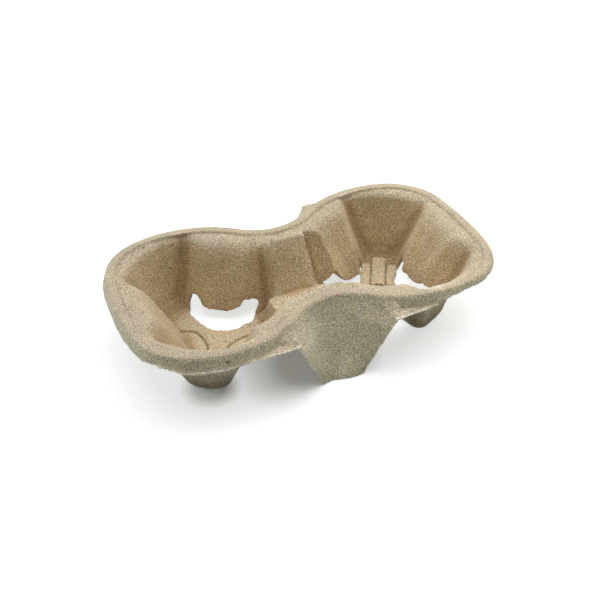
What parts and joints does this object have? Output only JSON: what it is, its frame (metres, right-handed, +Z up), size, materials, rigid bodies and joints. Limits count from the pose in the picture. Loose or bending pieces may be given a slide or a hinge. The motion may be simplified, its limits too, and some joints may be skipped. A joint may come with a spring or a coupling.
{
  "type": "two-cup carrier",
  "caption": "Moulded pulp cup carrier: a rounded rim, two wells with inward pads and cut windows, a saddle between them and a flap down each waist.",
  "frame": {"origin": "middle of the footprint, on the surface that the carrier stands on", "axes": "+X along the row of two wells, +Y across the waist, +Z up out of the wells"},
  "size_m": [0.2133, 0.1206, 0.0415],
  "materials": {
    "pulp": "matte, fibrous, speckled"
  },
  "bodies": {
    "root": {"cup_carrier": "pulp"}
  },
  "joints": []
}
